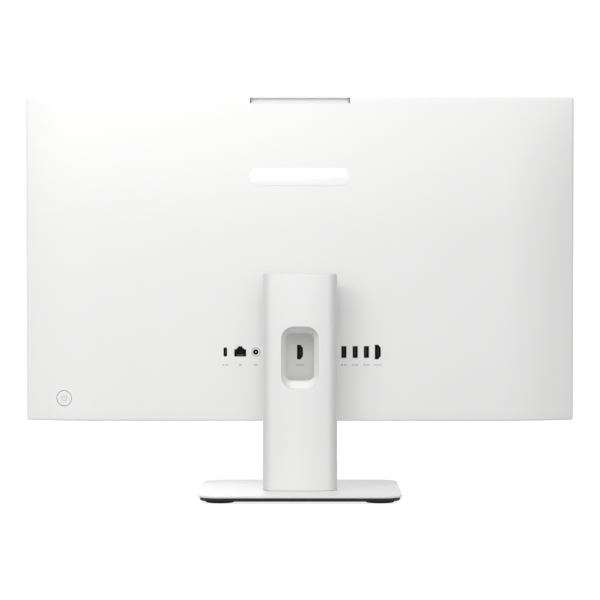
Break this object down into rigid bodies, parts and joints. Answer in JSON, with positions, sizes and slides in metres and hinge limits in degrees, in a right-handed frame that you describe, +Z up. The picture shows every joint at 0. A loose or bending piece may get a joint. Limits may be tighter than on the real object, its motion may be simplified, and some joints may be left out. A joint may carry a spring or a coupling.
{
  "type": "all-in-one desktop computer",
  "caption": "Slim flat-panel desktop computer with a swollen rear cover, sockets, pop-up webcam and a tilting column stand with a cable hole.",
  "frame": {"origin": "centre of the base footprint on the desk surface, which is also the bottom centre of the bounding box", "axes": "+Z up, -Y the way the screen faces, +Y the way the sockets face, +X to the right of a person looking at the screen"},
  "size_m": [0.612, 0.2, 0.4444],
  "materials": {
    "white_shell": "fine matt texture",
    "white_base": "satin powder coat",
    "black_plastic": "matt",
    "black_steel": "black paint",
    "rubber": "matt",
    "steel": "zinc plated",
    "aluminium": "plain sheet",
    "copper": "bare copper",
    "circuit_board": "solder mask on glass laminate",
    "display": "anti-glare, switched off",
    "lens": "coated"
  },
  "bodies": {
    "stand": {"base_cover": "white_base", "base_weight_plate": "black_steel", "rubber_foot_1": "rubber", "rubber_foot_2": "rubber", "rubber_foot_3": "rubber", "rubber_foot_4": "rubber", "stand_thumb_screw": "steel", "neck_rear_shell": "white_shell", "neck_front_shell": "white_shell", "cable_hole_liner": "white_shell", "neck_core": "steel", "hinge_stand_bracket": "steel", "hinge_shaft": "steel", "hinge_washer_right": "steel", "hinge_washer_left": "steel", "hinge_spring": "steel", "hinge_cover": "white_shell"},
    "head": {"rear_cover": "white_shell", "webcam_guide": "black_plastic", "button_switch_board": "circuit_board", "front_frame": "white_shell", "lcd_panel": "display", "backlight_module": "aluminium", "chassis_plate": "steel", "usb_c_port": "steel", "ethernet_jack": "black_plastic", "dc_power_jack": "black_plastic", "hdmi_in_port": "steel", "usb_a_port_1": "steel", "usb_a_port_2": "steel", "usb_a_port_3": "steel", "hdmi_out_port": "steel", "mainboard": "circuit_board", "cpu_heat_spreader": "copper", "memory_module_1": "circuit_board", "memory_module_2": "circuit_board", "ssd_module": "circuit_board", "wifi_card": "circuit_board", "antenna_right": "circuit_board", "antenna_left": "circuit_board", "speaker_right": "black_plastic", "speaker_left": "black_plastic", "display_cable": "black_plastic", "heat_pipe": "copper", "heatsink_fins": "aluminium", "fan_housing": "black_plastic", "hinge_head_bracket": "steel", "bracket_screw_1": "steel", "bracket_screw_2": "steel", "bracket_screw_3": "steel", "bracket_screw_4": "steel"},
    "webcam": {"webcam_cap": "white_shell", "webcam_module": "black_plastic", "webcam_lens": "lens"},
    "button": {"power_button": "white_shell"},
    "fan": {"fan_rotor": "black_plastic"}
  },
  "joints": [
    {"name": "head_tilt", "type": "hinge", "parent": "stand", "child": "head", "pos_m": [0, 0.0115, 0.227], "axis": [-1, 0, 0], "range_deg": [-5, 20]},
    {"name": "webcam_slide", "type": "slide", "parent": "head", "child": "webcam", "axis": [0, 0, 1], "range_m": [0, 0.018]},
    {"name": "power_button_press", "type": "slide", "parent": "head", "child": "button", "axis": [-0.2146, -0.9767, 0], "range_m": [0, 0.0012], "stiffness_N_per_m": 800},
    {"name": "fan_spin", "type": "hinge", "parent": "head", "child": "fan", "pos_m": [-0.1, -0.007, 0.24], "axis": [0, 1, 0], "continuous": true}
  ]
}
